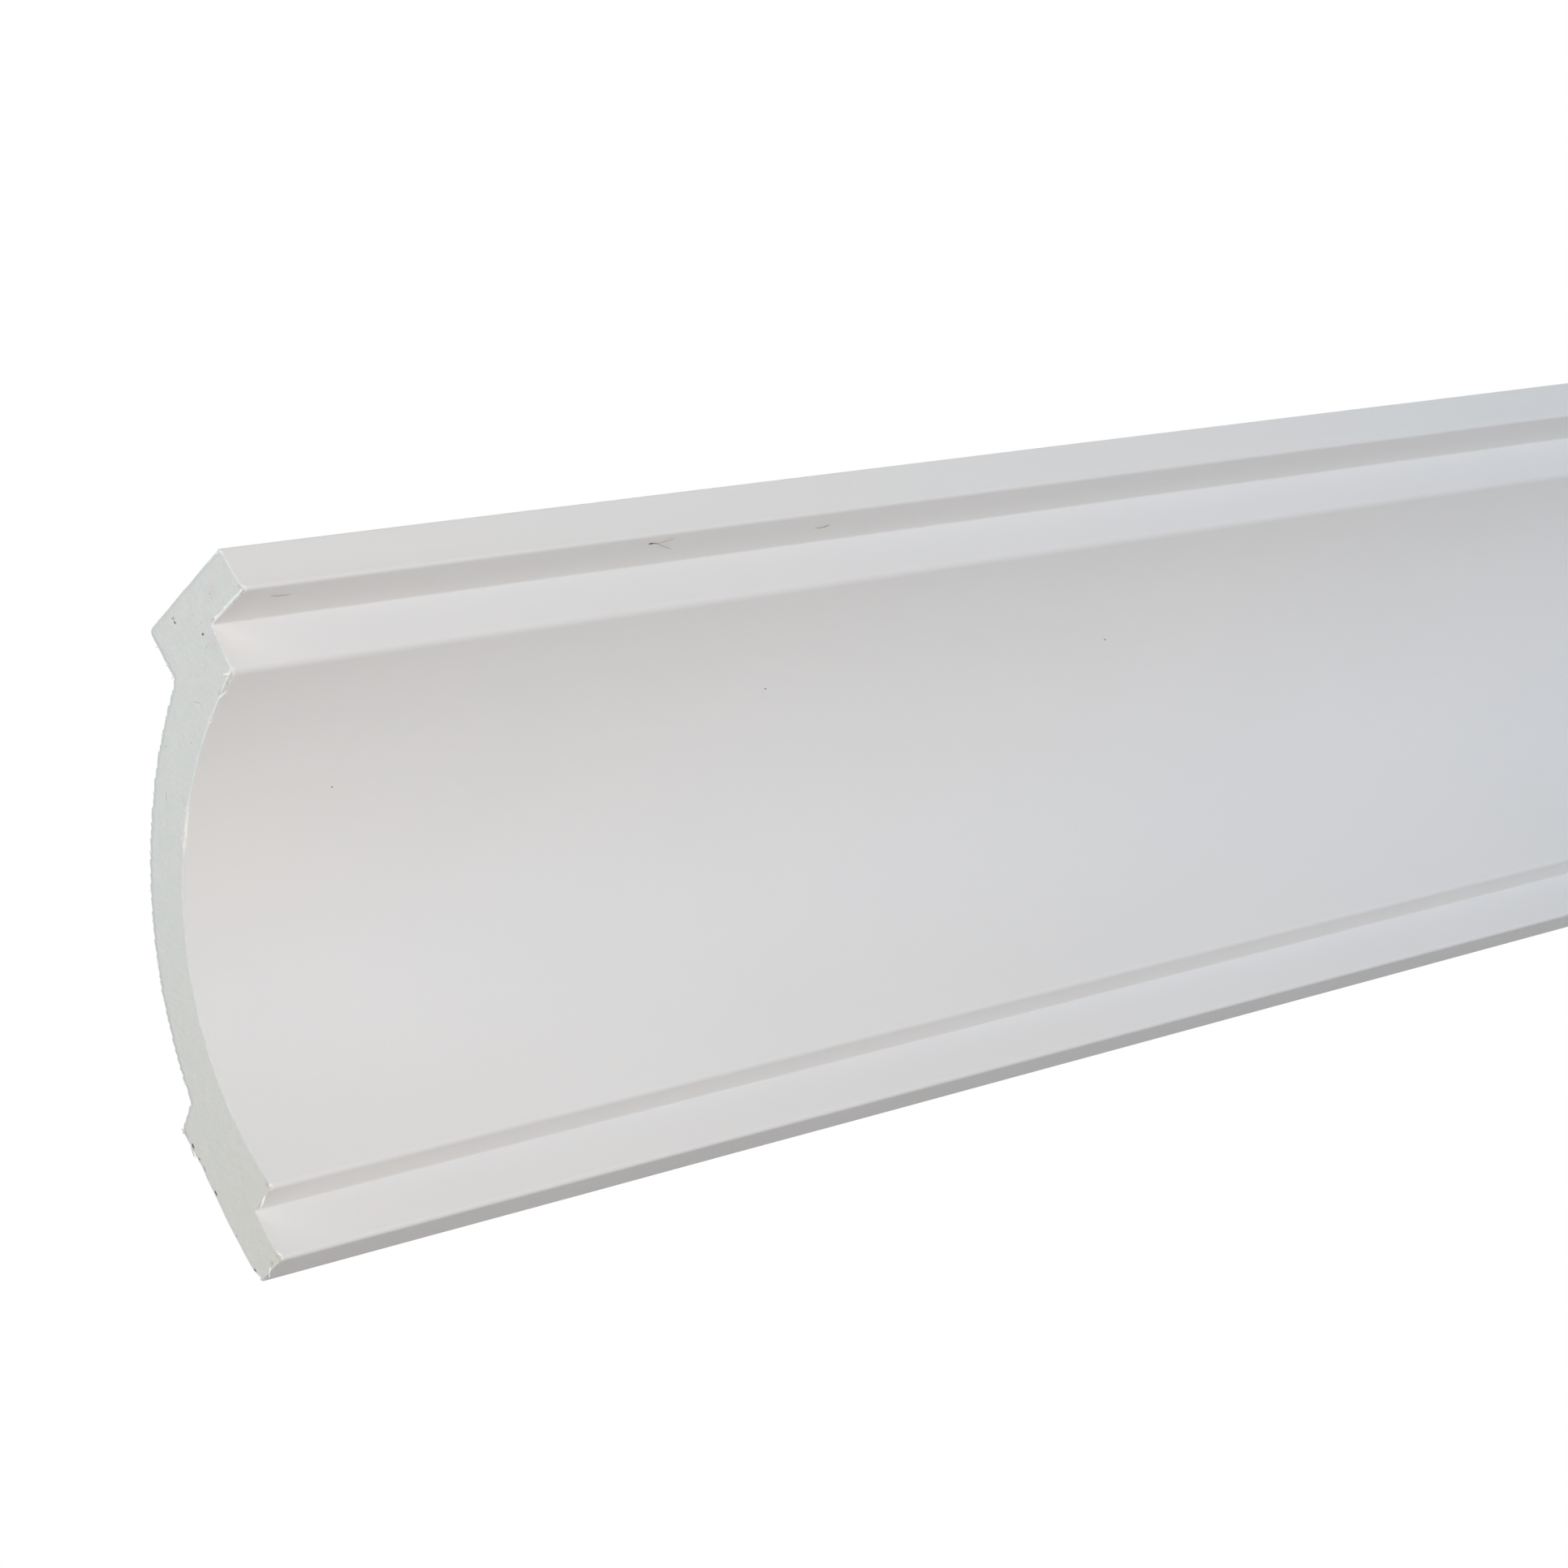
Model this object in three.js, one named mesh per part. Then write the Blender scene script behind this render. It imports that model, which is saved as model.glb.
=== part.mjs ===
// Crown moulding length: a coved cornice of dense foamed plastic with a white skin,
// cut square at both ends. Sizes are in millimetres and +Z is up.
//
// It lies as it hangs in a room. X runs along it, +Y points at the wall and +Z at the
// ceiling, so its moulded face looks out and down towards -Y. The origin is at mid-length,
// in the middle of the flat that is glued to the wall.

import * as THREE from 'three';

// Overall sizes, to the sharp corners before they are rounded
const LENGTH = 1000;
const DROP = 110; // from the ceiling plane down to the bottom edge
const PROJECTION = 85.2; // from the wall plane out to the front edge, 85 once it is rounded

// The two flats that are glued to the room
const CEILING_LAND = 27.6;
const WALL_LAND = 33.5;

// Front fillet, under the ceiling, and the step behind it
const FRONT_FILLET = 9.5; // height
const FRONT_DIP = 0.4; // how much lower its edge hangs than the step's inner corner
const FRONT_LIP = 0.5; // how far that edge flares out
const FRONT_STEP = 11.5; // depth
const LIP_HEIGHT = 2.4; // how far above its edge a flare begins

// Second fillet, between the front step and the cove
const SECOND_FILLET = 9.8; // height
const SECOND_LEAN = 1.1; // how far its lower edge lies back from its upper one

// Cove, the straight band below it and the step under that band
const COVE_FOOT = 14.8; // from the wall plane out to the foot of the cove
const BAND = 9; // height of the straight band
const BAND_LEAN = 0.4; // how far the band's lower edge stands out from its upper one
const FOOT_STEP = 6.7; // depth of the step
const FOOT_STEP_RISE = 0.8; // how much higher the step's outer edge lies

// Bottom fillet
const BOTTOM_FILLET = 11.2; // height, down to the bottom edge
const BOTTOM_RISE = 0.4; // how much higher the bottom's outer edge lies
const BOTTOM_LIP = 0.25; // how far that edge flares out

// Hollow back: a face behind the front fillet, a curve behind the cove and a shoulder
// over the wall land
const BACK_FACE = 11.4; // height
const COVE_THICKNESS = 9.3; // half-way round the cove
const SHOULDER_DEPTH = 6.6;
const SHOULDER_RISE = 2.5;

// Roundings, each the distance from a sharp corner to where its rounding starts
const NOSE_ROUND = 1.1;
const COVE_NOSE_ROUND = 1.5;
const GROOVE_ROUND = 0.5;
const LIP_ROUND = 1.1;
const EDGE_ROUND = 0.8; // where a face meets a glued flat
const BACK_ROUND = 1.4;

// Fineness of the curves
const CURVE_STEP = 1.6; // chord length on the cove and on the back curve
const ROUND_CHORDS = 6; // chords in each rounding

const SKIN_COLOUR = 0xe4e3e1;
const SKIN_ROUGHNESS = 0.45;

// The section is drawn in the plane of Y and Z. A point of it is given by how far out it
// lies from the wall plane and how far down from the ceiling plane.
const CEILING_Z = DROP - WALL_LAND / 2;
const at = (out, down) => new THREE.Vector2(-out, CEILING_Z - down);

// The arc about a centre from one point to another.
function arcAbout(centre, from, to, clockwise) {
  const radius = centre.distanceTo(from);
  const start = Math.atan2(from.y - centre.y, from.x - centre.x);
  const end = Math.atan2(to.y - centre.y, to.x - centre.x);
  return new THREE.EllipseCurve(centre.x, centre.y, radius, radius, start, end, clockwise);
}

// The cove turns upright at its foot, so its radius follows from its two ends.
function coveCentre(top, foot) {
  const across = foot.x - top.x;
  const down = top.y - foot.y;
  const radius = (across * across + down * down) / (2 * across);
  return new THREE.Vector2(foot.x - radius, foot.y);
}

// The centre of the circle through three points.
function circleCentre(first, second, third) {
  const a = second.clone().sub(first);
  const b = third.clone().sub(first);
  const scale = 1 / (2 * a.cross(b));
  return new THREE.Vector2(
    first.x + scale * (b.y * a.lengthSq() - a.y * b.lengthSq()),
    first.y + scale * (a.x * b.lengthSq() - b.x * a.lengthSq()),
  );
}

// The corners of the section, from the front edge of the ceiling land down the moulded
// face, along the bottom, up the wall land and up the back. Each has its rounding and the
// curve that leads to the next corner, where that isn't a straight line.
function sectionCorners() {
  const frontFace = PROJECTION - FRONT_LIP;
  const frontGroove = at(frontFace - FRONT_STEP, FRONT_FILLET);
  const coveTop = at(frontFace - FRONT_STEP - SECOND_LEAN, FRONT_FILLET + SECOND_FILLET);

  const bottomFace = COVE_FOOT - FOOT_STEP;
  const grooveDown = DROP - BOTTOM_FILLET;
  const bandEdge = grooveDown - FOOT_STEP_RISE;
  const bottomEdge = DROP - BOTTOM_RISE;
  const coveFoot = at(COVE_FOOT, bandEdge - BAND);

  const backEdge = PROJECTION - CEILING_LAND;
  const backTop = at(backEdge, BACK_FACE);
  const backFoot = at(SHOULDER_DEPTH, DROP - WALL_LAND - SHOULDER_RISE);

  const centre = coveCentre(coveTop, coveFoot);
  const cove = arcAbout(centre, coveTop, coveFoot, true);
  const outward = cove.getPointAt(0.5).sub(centre);
  const backMiddle = centre.clone().add(outward.setLength(outward.length() + COVE_THICKNESS));
  const back = arcAbout(circleCentre(backFoot, backMiddle, backTop), backFoot, backTop, false);

  return [
    { point: at(frontFace, 0), round: EDGE_ROUND },
    { point: at(frontFace, FRONT_FILLET - LIP_HEIGHT), round: LIP_ROUND },
    { point: at(PROJECTION, FRONT_FILLET + FRONT_DIP), round: NOSE_ROUND },
    { point: frontGroove, round: GROOVE_ROUND },
    { point: coveTop, round: COVE_NOSE_ROUND, curve: cove },
    { point: coveFoot, round: 0 },
    { point: at(COVE_FOOT + BAND_LEAN, bandEdge), round: NOSE_ROUND },
    { point: at(bottomFace, grooveDown), round: GROOVE_ROUND },
    { point: at(bottomFace, bottomEdge - LIP_HEIGHT), round: LIP_ROUND },
    { point: at(bottomFace + BOTTOM_LIP, bottomEdge), round: NOSE_ROUND },
    { point: at(0, DROP), round: EDGE_ROUND },
    { point: at(0, DROP - WALL_LAND), round: EDGE_ROUND },
    { point: backFoot, round: BACK_ROUND, curve: back },
    { point: backTop, round: BACK_ROUND },
    { point: at(backEdge, 0), round: BACK_ROUND },
  ];
}

// The outline with its corners rounded. Each leg between two corners is trimmed by their
// roundings, and a parabola joins it to the next leg.
function roundedOutline(corners) {
  const count = corners.length;
  const legs = corners.map(({ point, round, curve }, i) => {
    const next = corners[(i + 1) % count];
    const leg = curve ?? new THREE.LineCurve(point, next.point);
    const length = leg.getLength();
    return { leg, start: round / length, end: 1 - next.round / length, bent: Boolean(curve) };
  });

  const points = [];
  corners.forEach(({ point, round }, i) => {
    const before = legs[(i + count - 1) % count];
    const after = legs[i];
    const first = before.leg.getPointAt(before.end);
    const last = after.leg.getPointAt(after.start);
    if (round > 0) {
      points.push(...new THREE.QuadraticBezierCurve(first, point, last).getPoints(ROUND_CHORDS));
    } else {
      points.push(last);
    }
    if (after.bent) {
      const chords = Math.ceil(after.leg.getLength() / CURVE_STEP);
      for (let k = 1; k < chords; k += 1) {
        points.push(after.leg.getPointAt(after.start + ((after.end - after.start) * k) / chords));
      }
    }
  });
  return points;
}

// The section drawn along the whole length. Turned so, its X and Y become Y and Z.
function mouldingBody() {
  const section = new THREE.Shape(roundedOutline(sectionCorners()));
  const geometry = new THREE.ExtrudeGeometry(section, { depth: LENGTH, steps: 1, bevelEnabled: false });
  const skin = new THREE.MeshStandardMaterial({
    color: SKIN_COLOUR,
    roughness: SKIN_ROUGHNESS,
    metalness: 0,
  });
  const body = new THREE.Mesh(geometry, skin);
  body.name = 'crown_moulding';
  body.rotation.set(Math.PI / 2, Math.PI / 2, 0);
  body.position.x = -LENGTH / 2;
  return body;
}

const crownMoulding = new THREE.Group();
crownMoulding.add(mouldingBody());

export default crownMoulding;
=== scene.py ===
"""Looks of the crown moulding length: a sawn length of foam cornice with a white skin.

Metres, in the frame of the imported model: X runs along the moulding, +Y points at the wall
and +Z at the ceiling. The near end is the sawn end that faces the camera. A place on the
section is given as on a drawing, in millimetres out of the wall and down from the ceiling.
A land is a flat that is glued to the wall or to the ceiling. A wave is an unevenness: its
height, the width of its lumps and its seed.
"""
import math

import bpy
import numpy as np
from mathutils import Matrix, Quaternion, Vector, noise
from mathutils.geometry import delaunay_2d_cdt


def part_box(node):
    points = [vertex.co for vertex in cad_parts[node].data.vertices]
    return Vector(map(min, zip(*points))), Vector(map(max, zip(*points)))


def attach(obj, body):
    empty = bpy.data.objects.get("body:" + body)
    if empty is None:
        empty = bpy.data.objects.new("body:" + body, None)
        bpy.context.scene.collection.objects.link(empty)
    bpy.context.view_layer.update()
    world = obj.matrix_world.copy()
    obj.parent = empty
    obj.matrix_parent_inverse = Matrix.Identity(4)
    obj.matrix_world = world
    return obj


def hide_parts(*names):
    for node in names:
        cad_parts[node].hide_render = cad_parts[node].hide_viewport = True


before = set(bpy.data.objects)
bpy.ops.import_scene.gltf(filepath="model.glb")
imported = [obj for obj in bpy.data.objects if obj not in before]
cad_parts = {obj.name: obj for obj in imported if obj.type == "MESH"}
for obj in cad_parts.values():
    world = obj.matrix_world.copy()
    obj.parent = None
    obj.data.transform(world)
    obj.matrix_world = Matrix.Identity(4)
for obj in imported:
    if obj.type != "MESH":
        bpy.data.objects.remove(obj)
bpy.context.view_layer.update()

NODE = "crown_moulding"
BODY = "root"
MM = 0.001

# The camera stands where the photograph's did. Places are in metres and its lens in mm.
CAMERA_PLACE = (-1.0857, -0.66496, -0.25769)
CAMERA_AIM = (-0.33151, -0.03137, 0.04986)
CAMERA_ROLL = math.radians(-30.37)
CAMERA_LENS = 110.95
SENSOR_WIDTH = 36
NEAREST_SEEN = 0.01

# Mesh fineness, in mm: how far apart the section's points are on the skin, on the back and
# on the lands, and how close one is to a corner that turns sharply
SKIN_SPACING = 0.85
BACK_SPACING = 0.42
LAND_SPACING = 1.0
CORNER_SUPPORT = 0.12
SHARP_TURN = math.radians(3)
# How close to a land's plane, in mm, a point and the middle of a side count as on it
ON_FLAT = 0.01
NEAR_FLAT = 0.05
# Stations are the places of the rings, in mm from a cut inwards. The far cut has none but
# the first within its gap. The rings between the two cuts are further apart.
CUT_STATIONS = (0, 0.15, 0.3, 0.5, 0.75, 1.05, 1.4, 1.9, 2.6, 3.6, 5, 7, 10, 15, 22, 32, 45)
FAR_CUT_GAP = 0.4
LENGTH_SPACING = 16
# The grain of a sawn end: how far apart its points are, in mm
NEAR_END_GRAIN = 0.24
FAR_END_GRAIN = 0.7
# Shares of the grain: the gap between its rows, how far its points are strewn and how far
# they stay off the edge
ROW_GAP = 0.87
STREWN = 0.22
OFF_EDGE = 0.7
# How the triangles of an end are made: those inside its outline, with points this close
# to each other made one, in mm
INNER_TRIANGLES = 1
TOO_CLOSE = 1e-5
TINY = 1e-12  # keeps the length of a path's side off zero

# The cut skin, and how strongly it shows as a white line at some depths below the ceiling
SKIN_THICKNESS = 0.3
SKIN_ROWS = (0.5, 1.15)  # where rows of points follow it, as shares of its thickness
OFF_SKIN = 1.5  # how far the grid stays off it, as a share too
LINE_DOWNS = (0, 17, 24, 31, 34, 37, 60, 88, 93, 110)
LINE_STRENGTHS = (0.65, 0.65, 0.3, 0.35, 0.6, 0.35, 0.4, 0.3, 0.08, 0.08)

# The saw's teeth along the back edge: their gap, the burr they leave, the depths below the
# ceiling between which it fades in, and how far it reaches along the moulding
TOOTH_GAP = 2.1
TOOTH_WAVE = (0.9, 3.5, 5)  # its height in teeth
BURR_HEIGHT = 0.5
BURR_SHARE = 0.7  # of its height, on average
BURR_WAVE = (0.5, 4, 10)
BURR_GRAIN = (0.06, 1.1, 6)
BURR_FROM, BURR_FULL = 2, 12
BURR_REACH = 0.5
# How wide and how deep the back edge is rounded off at the near cut, how ragged it is, and
# how far the back and the lands are worn down at the far cut
BURR_WIDTH = 0.9
ROUNDED_OFF = 0.16
BACK_WAVE = (0.03, 2.5, 6)
FAR_BACK_WORN = 0.1

# Wear of the skin's edge and of the lands' edges at the cut
SKIN_EDGE_WAVE = (0.05, 0.8, 7)
SKIN_EDGE_REACH = 0.25
LAND_EDGE_WAVE = (0.07, 1.7, 8)
# The wall land's torn edge: how deep it is at its top, how ragged, how far under the land's
# top it starts to fade out and how far over its foot it ends, and its reach
TORN_LAND_TOP = 0.85
TORN_LAND_WAVE = (0.3, 2.3, 9)
TORN_LAND_UNDER_TOP = 3
TORN_LAND_OVER_FOOT = 10
TORN_LAND_REACH = 2.2
# The worn shoulder over the wall land, up to so far out, and the worn bottom edge
WORN_SHOULDER = 0.5
SHOULDER_SPREAD = 1.6
SHOULDER_OUT = 4
WORN_BOTTOM = 0.8
BOTTOM_SPREAD = 1.5

# Where the skin is torn off along the cut: the middle's place on the section, half the
# length along the skin and how far it reaches along the moulding
TEARS = (
    (84.9, 9.9, 1.0, 0.6),
    (79.5, 9.6, 5.0, 0.18),
    (69.6, 19.9, 2.6, 0.75),
    (61.0, 22.6, 0.8, 0.3),
    (40.5, 34.0, 3.6, 0.22),
    (15.0, 97.8, 0.7, 0.35),
    (8.4, 109.4, 1.2, 0.6),
)
TEAR_DEPTH = 0.22
TEAR_TOP = 1.2  # more than 1, so that the middle of a tear reaches equally far
TEAR_WAVE = (0.9, 0.7, 3)
TEAR_FROM, TEAR_FULL = -0.1, 0.15  # how far inside its end it starts and is full
TORN_WHITE = 0.2  # how white the foam in it is
TORN_WHITE_WAVE = (0.8, 0.5, 15)

# The one shallow dent: mm along from the near end, out, down, half its length and depth
DENT = (82, 8.2, 105.6, 2.4, 0.12)
DENT_HEIGHT = 0.7  # as a share of its length
DENT_SPREAD = 1.5  # how far its stations reach, as a share of half its length
DENT_STATIONS = 9

# Unevenness of the long faces: height, length along the moulding, width across and seed
SKIN_WAVE = (0.035, 60, 22, 11)
FOAM_WAVES = ((0.10, 60, 22, 12), (0.06, 90, 1.3, 13), (0.05, 9, 4, 14))
LAND_EVENNESS = 0.4  # how uneven a land is, as a share of the back

# Unevenness of the two sawn ends
NEAR_END_WAVES = ((0.03, 0.33, 21), (0.03, 0.9, 22), (0.05, 3.1, 23))
FAR_END_WAVES = ((0.06, 1.2, 31), (0.05, 4, 32))

# Pores: place, half length, half width, turn in degrees and darkness, the darkness being painted
# shade in the pit
PORES = (
    (64.9, 2.2, 0.36, 0.1, 42, 0.7),
    (65.3, 2.0, 0.12, 0.1, 0, 0.5),
    (64.75, 3.05, 0.34, 0.17, 81, 1),
    (69.75, 9.25, 0.34, 0.15, 22, 1),
    (53.2, 22.6, 0.2, 0.12, 60, 0.35),
    (46.8, 19.0, 0.22, 0.12, 30, 0.3),
    (70.8, 7.4, 0.14, 0.12, 0, 0.25),
    (76.4, 4.8, 0.14, 0.12, 0, 0.25),
    (16.6, 72.6, 0.14, 0.12, 0, 0.35),
)
PORE_RINGS = ((0.55, 6), (0.95, 10), (1.35, 12))  # share of the pore's size, and points
PORE_EDGE = (0.75, 1.25)  # where its edge slopes, as shares of its size
PORE_DEPTH = 2  # of its half width
# Cracks, darkened with painted shade in them, and the dark notches along the edge of the wall
# land: half width, darkness, path
CRACKS = (
    (0.05, 0.2, ((59.4, 17.5), (60.2, 18.3), (60.3, 19.0), (59.9, 19.6))),
    (0.05, 0.22, ((40.8, 25.3), (40.2, 26.2), (39.6, 26.9), (39.5, 27.3))),
    (0.05, 0.14, ((68.4, 11.7), (69.4, 11.5), (70.2, 11.6))),
    (0.12, 1, ((1.35, 77.3), (1.15, 78.3))),
    (0.14, 1, ((1.32, 80.0), (1.22, 80.7))),
    (0.1, 0.9, ((1.18, 83.0), (1.14, 83.4))),
    (0.07, 0.6, ((1.18, 85.0), (1.08, 86.0))),
    (0.13, 1, ((0.80, 90.2), (0.72, 90.9))),
    (0.08, 0.9, ((0.27, 99.7), (0.25, 99.9))),
    (0.13, 1, ((0.40, 107.2), (0.37, 107.7))),
)
CRACK_STEP = 0.12  # between points along it
CRACK_ROWS = (-1.8, -0.9, 0, 0.9, 1.8)  # across it, in half widths
CRACK_EDGE = (0.7, 1.6)  # where its edge slopes, in half widths
CRACK_DEPTH = 1.5  # of its half width
# How far other points stay off these close ones, and they off the end's outline
SCAR_CLEAR = 0.1
SCAR_OFF_EDGE = 0.05
# Brown stains where the foam tore: place, radius and strength
STAINS = (
    (84.75, 9.3, 0.3, 0.9),
    (84.1, 8.5, 0.3, 0.4),
    (67.2, 20.6, 0.5, 0.85),
    (66.4, 20.3, 0.35, 0.5),
    (74.1, 9.0, 0.3, 0.6),
    (14.8, 96.9, 0.5, 0.35),
    (8.2, 108.5, 0.6, 0.5),
    (5.6, 108.9, 0.5, 0.4),
    (77.5, 5.2, 1.6, 0.07),
    (71.0, 12.5, 1.8, 0.07),
)
STAIN_WAVE = (0.5, 0.4, 25)
# Where torn skin shows white at the cut: half width, strength and path
WHITE_RIPS = (
    (0.34, 0.85, ((84.5, 1.0), (84.35, 0.35), (83.2, 0.25))),
    (0.18, 0.7, ((83.2, 0.2), (80.6, 0.15))),
    (0.26, 1, ((84.8, 9.55), (82.5, 9.45), (80.2, 9.35), (78.2, 9.3), (76.3, 9.2), (74.8, 9.1))),
    (0.13, 0.9, ((72.6, 17.6), (72.0, 18.6), (70.7, 18.8), (69.6, 18.2))),
    (0.3, 0.4, ((70.8, 19.2), (69.4, 19.5), (67.9, 19.8))),
)
RIP_WAVE = (1.1, 0.55, 26)
RIP_EDGE = 0.1  # how softly it ends
RIP_RELIEF = (0.12, 0.5, 27)
# Painted shade: a faint dark band just inside the back edge. A dark line along the upper part of
# the wall land's edge
BACK_EDGE_SHADE = 0.02
BACK_EDGE_SHADE_MIDDLE = 0.6 * BURR_WIDTH
BACK_EDGE_SHADE_SPREAD = 0.35 * BURR_WIDTH
WALL_EDGE_DARK = 0.3
WALL_EDGE_DARK_SPREAD = 0.2
WALL_EDGE_DARK_WAVE = (0.8, 1.2, 28)
WALL_DARK_TO = 92  # how far down

low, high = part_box(NODE)
NEAR_X = low.x
LENGTH = (high.x - low.x) / MM
SEED_SHIFT = 17.3
rng = np.random.default_rng(41)


def to_frame(along, out, down):
    """Points in the frame, in metres, from mm along from the near end, out and down."""
    along, out, down = np.broadcast_arrays(along, out, down)
    return np.stack([NEAR_X + along * MM, high.y - out * MM, high.z - down * MM], -1)


def rough(points, scale, seed):
    """Smooth noise between about -1 and 1 at points in mm, with lumps about scale mm wide."""
    points = np.atleast_2d(points) / scale
    third = np.zeros(len(points)) if points.shape[1] == 2 else points[:, 2]
    shift = SEED_SHIFT * seed
    return np.array([
        noise.noise(Vector((a + shift, b - shift, c + shift)))
        for a, b, c in zip(points[:, 0], points[:, 1], third)
    ])


def uneven(points, wave):
    """The unevenness of a wave at points in mm."""
    height, width, seed = wave
    return height * rough(points, width, seed)


def smooth_step(values, start, end):
    t = np.clip((values - start) / (end - start), 0, 1)
    return t * t * (3 - 2 * t)


def read_section(node):
    """The section's corners as out and down in mm, in order, from the front edge of the
    ceiling land down the moulded face."""
    snap = ON_FLAT * MM
    links = {}
    for polygon in node.data.polygons:
        corners = [node.data.vertices[i].co for i in polygon.vertices]
        near = [(round(c.y, 6), round(c.z, 6)) for c in corners if c.x < low.x + snap]
        if len(near) == 2 and near[0] != near[1]:
            links.setdefault(near[0], set()).add(near[1])
            links.setdefault(near[1], set()).add(near[0])
    start = min(k for k in links if k[1] > high.z - snap)
    loop = [start, min(links[start], key=lambda k: k[1])]
    while True:
        following = [k for k in links[loop[-1]] if k != loop[-2]]
        if following[0] == start:
            break
        loop.append(following[0])
    y, z = np.array(loop).T
    return np.stack([(high.y - y) / MM, (high.z - z) / MM], -1)


class Ring:
    """The section with its sides divided finely, and what lies at each of its points."""

    def __init__(self, corners):
        wall = corners[:, 0] < ON_FLAT
        self.wall_top = corners[wall, 1].min()
        self.wall_foot = corners[wall, 1].max()
        skin_corners = int(np.argmax(wall)) + 1
        self.points, self.skin = self.divided(corners, skin_corners)
        self.count = len(self.points)
        self.wall = (self.points[:, 0] < ON_FLAT) & ~self.skin
        self.land = (self.points[:, 1] < ON_FLAT) | self.wall
        self.behind = ~self.skin & ~self.wall
        step = np.roll(self.points, -1, 0) - self.points
        self.arc = np.concatenate([[0], np.cumsum(np.hypot(*step.T))[:-1]])
        self.line = np.stack([self.arc, self.arc * 0], -1)
        tangent = step + np.roll(step, 1, 0)
        tangent /= np.hypot(*tangent.T)[:, None]
        self.normal = np.stack([tangent[:, 1], -tangent[:, 0]], -1)
        area = (self.points[:, 0] * np.roll(self.points[:, 1], -1)
                - self.points[:, 1] * np.roll(self.points[:, 0], -1)).sum()
        if area < 0:
            self.normal = -self.normal

    def divided(self, corners, skin_corners):
        """The section's points, with one close to each sharp corner, and which are on skin."""
        count = len(corners)
        points, skin = [], []
        step = np.roll(corners, -1, 0) - corners
        heading = np.arctan2(step[:, 1], step[:, 0])
        turn = np.abs((heading - np.roll(heading, 1) + math.pi) % (2 * math.pi) - math.pi)
        for i in range(count):
            here, side = corners[i], step[i]
            length = math.hypot(*side)
            on_skin = i < skin_corners - 1
            flat = min(here + side / 2) < NEAR_FLAT
            spacing = SKIN_SPACING if on_skin else LAND_SPACING if flat else BACK_SPACING
            cuts = [0.0]
            if length > 4 * CORNER_SUPPORT:
                first = CORNER_SUPPORT if turn[i] > SHARP_TURN else 0
                last = CORNER_SUPPORT if turn[(i + 1) % count] > SHARP_TURN else 0
                pieces = max(1, math.ceil((length - first - last) / spacing))
                inner = np.linspace(first, length - last, pieces + 1)
                cuts += [c for c in inner if 0 < c < length]
            for cut in cuts:
                points.append(here + side * cut / length)
                skin.append(on_skin)
        return np.array(points), np.array(skin)


ring = Ring(read_section(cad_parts[NODE]))


def distance_to_path(points, path, closed=False):
    """How far each point is from a path in the section's plane, in mm."""
    ends = np.roll(path, -1, 0) if closed else path[1:]
    starts = path if closed else path[:-1]
    nearest = np.full(len(points), np.inf)
    for a, b in zip(starts, ends):
        side = b - a
        share = np.clip(((points - a) @ side) / max(side @ side, TINY), 0, 1)
        offset = points - a - share[:, None] * side
        nearest = np.minimum(nearest, np.hypot(*offset.T))
    return nearest


def inside(points, path):
    """Whether each point lies inside a closed path."""
    found = np.zeros(len(points), bool)
    x, y = points.T
    for a, b in zip(path, np.roll(path, -1, 0)):
        if a[1] == b[1]:
            continue
        crosses = (y < a[1]) != (y < b[1])
        found ^= crosses & (x < a[0] + (y - a[1]) * (b[0] - a[0]) / (b[1] - a[1]))
    return found


def tear_reach():
    """How far along the moulding the skin is torn off, at each point of the ring, in mm."""
    reach = np.zeros(ring.count)
    for out, down, half, depth in TEARS:
        middle = np.argmin(np.hypot(*(ring.points - (out, down)).T))
        away = np.abs(ring.arc - ring.arc[middle]) / half
        reach = np.maximum(reach, depth * np.clip(TEAR_TOP - away ** 2, 0, 1))
    return np.where(ring.skin & (reach > 0), reach * (1 + uneven(ring.line, TEAR_WAVE)), 0)


def cut_wear():
    """How far the section's edge stands out at the sawn end, in mm, and how far along the
    moulding that reaches."""
    out, down = ring.points.T
    teeth = (ring.arc / TOOTH_GAP + uneven(ring.line, TOOTH_WAVE)) % 1
    burr = BURR_HEIGHT * teeth * (BURR_SHARE + uneven(ring.line, BURR_WAVE))
    burr = burr + uneven(ring.line, BURR_GRAIN)
    burr = burr * smooth_step(down, BURR_FROM, BURR_FULL) + uneven(ring.line, BACK_WAVE)
    wear = np.where(ring.land, uneven(ring.line, LAND_EDGE_WAVE), burr)
    wear = np.where(ring.skin, uneven(ring.line, SKIN_EDGE_WAVE), wear)
    start, end = ring.wall_top + TORN_LAND_UNDER_TOP, ring.wall_foot - TORN_LAND_OVER_FOOT
    torn = TORN_LAND_TOP * (1 - smooth_step(down, start, end))
    torn = torn * (1 + uneven(ring.line, TORN_LAND_WAVE))
    wear = np.where(ring.wall, wear - torn, wear)
    shoulder = np.exp(-((down - ring.wall_top) / SHOULDER_SPREAD) ** 2) * (out < SHOULDER_OUT)
    foot = np.hypot(out, down - ring.wall_foot)
    wear = wear - WORN_SHOULDER * shoulder * ~ring.wall
    wear = wear - WORN_BOTTOM * np.exp(-(foot / BOTTOM_SPREAD) ** 2)
    reach = np.where(ring.skin, SKIN_EDGE_REACH, BURR_REACH)
    return wear, np.where(ring.wall, TORN_LAND_REACH, reach)


def stations():
    """Where the rings stand along the moulding, in mm, close together at the cuts and round
    the dent."""
    near = list(CUT_STATIONS)
    far = [LENGTH - s for s in reversed(CUT_STATIONS) if s == 0 or s > FAR_CUT_GAP]
    gap = far[0] - near[-1]
    count = round(gap / LENGTH_SPACING)
    middle = [near[-1] + gap * k / count for k in range(1, count)]
    dent_along, _, _, half, _ = DENT
    dented = dent_along + half * np.linspace(-DENT_SPREAD, DENT_SPREAD, DENT_STATIONS)
    return np.array(sorted(near + middle + far + list(dented)))


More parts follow.
